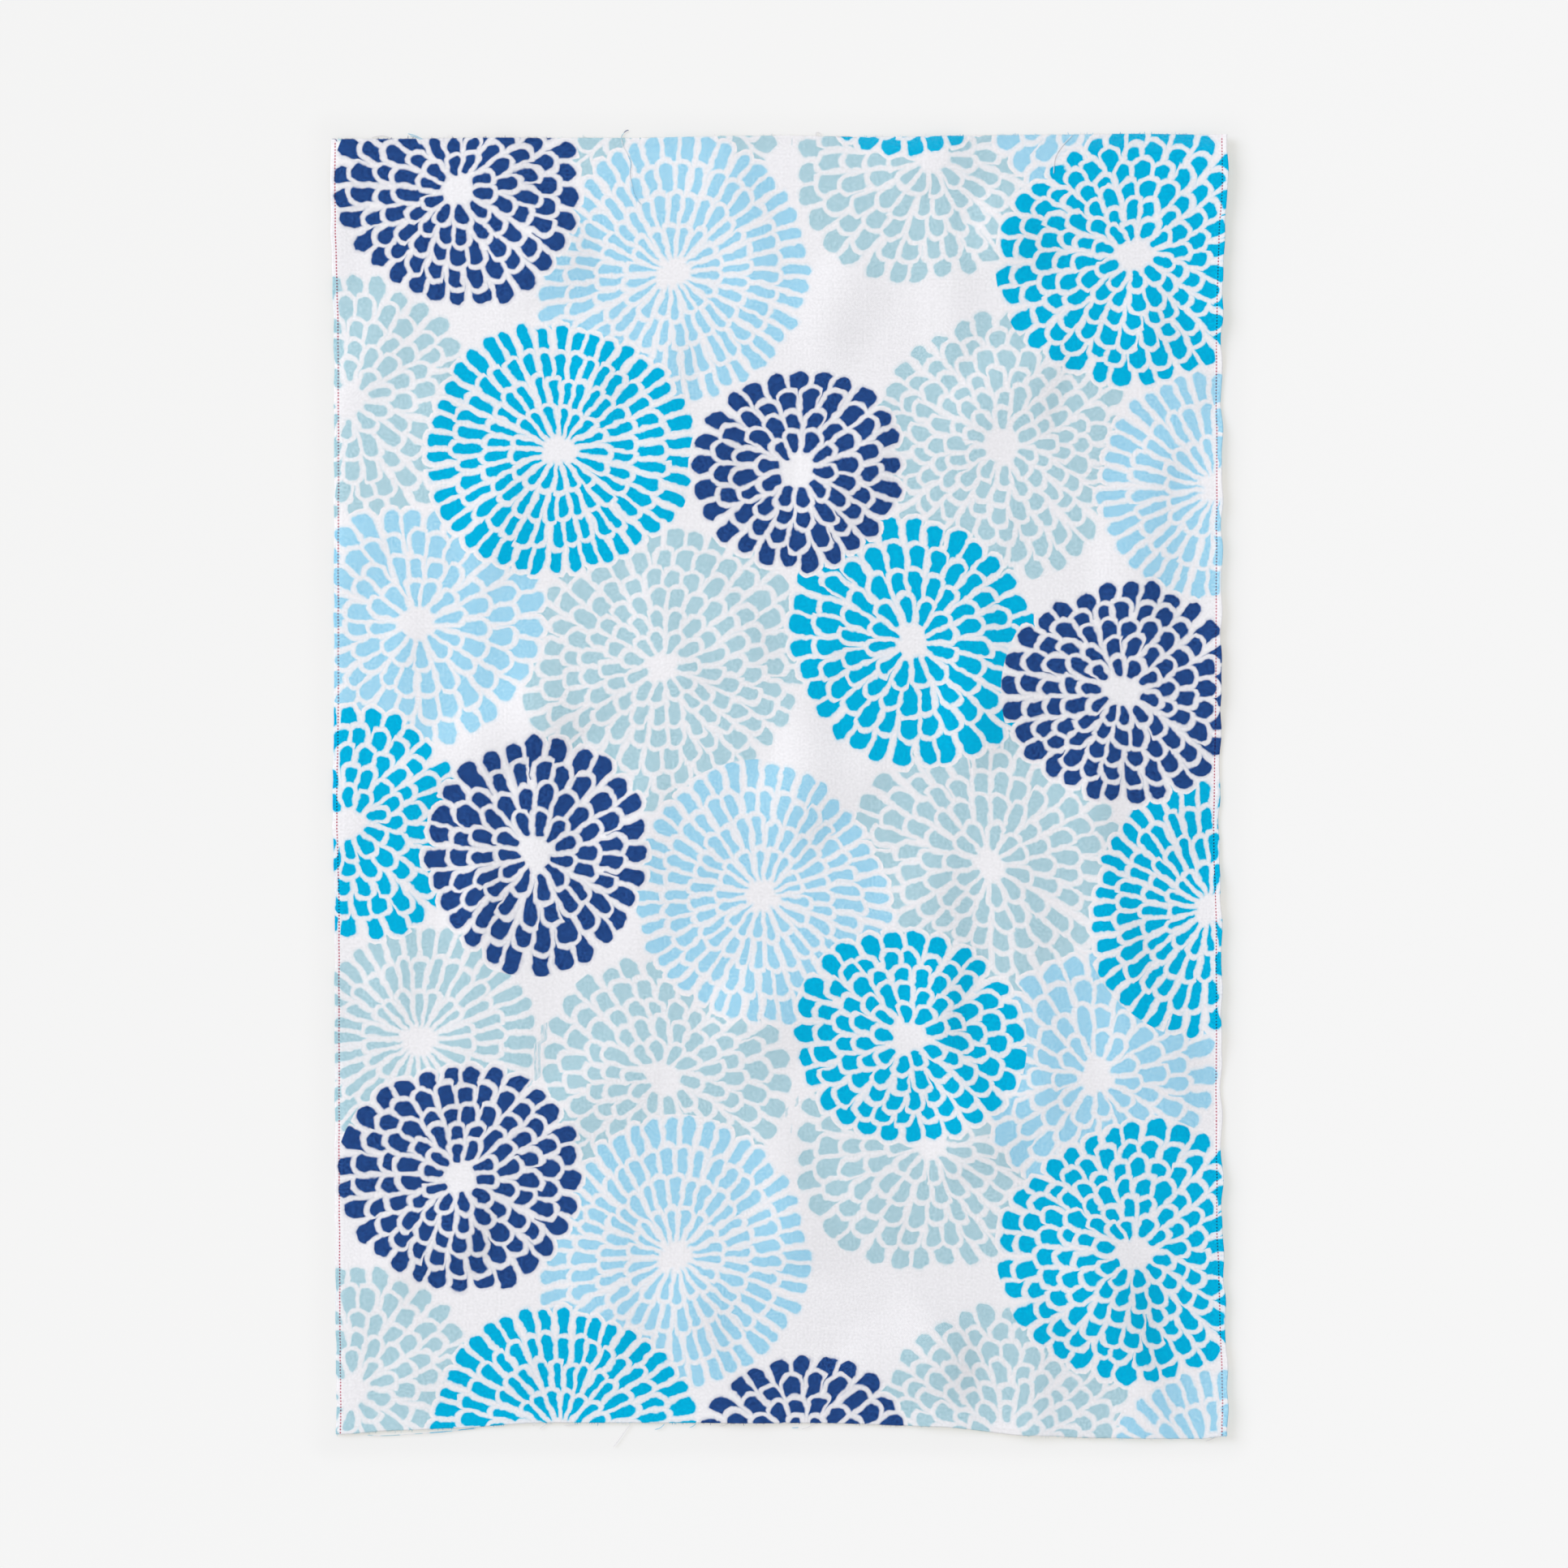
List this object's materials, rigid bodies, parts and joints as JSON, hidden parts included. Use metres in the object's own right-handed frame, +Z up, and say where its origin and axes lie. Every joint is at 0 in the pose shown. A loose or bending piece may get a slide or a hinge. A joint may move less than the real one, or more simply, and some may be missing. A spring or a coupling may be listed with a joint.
{
  "type": "tenugui towel",
  "caption": "Thin flat cotton hand towel with woven selvedges and raw cut ends, printed with flower heads, laid out to dry or to wrap things.",
  "frame": {"origin": "on the surface that the towel lies on, under the middle of its box", "axes": "+Z up out of the printed face, +Y along the length towards the end at the top of the picture, +X across the width towards the right selvedge"},
  "size_m": [0.3412, 0.4964, 0.004],
  "materials": {
    "printed_cotton": "matt plain-woven cotton with a printed pattern in blues"
  },
  "bodies": {
    "root": {"tenugui_cloth": "printed_cotton"}
  },
  "joints": []
}
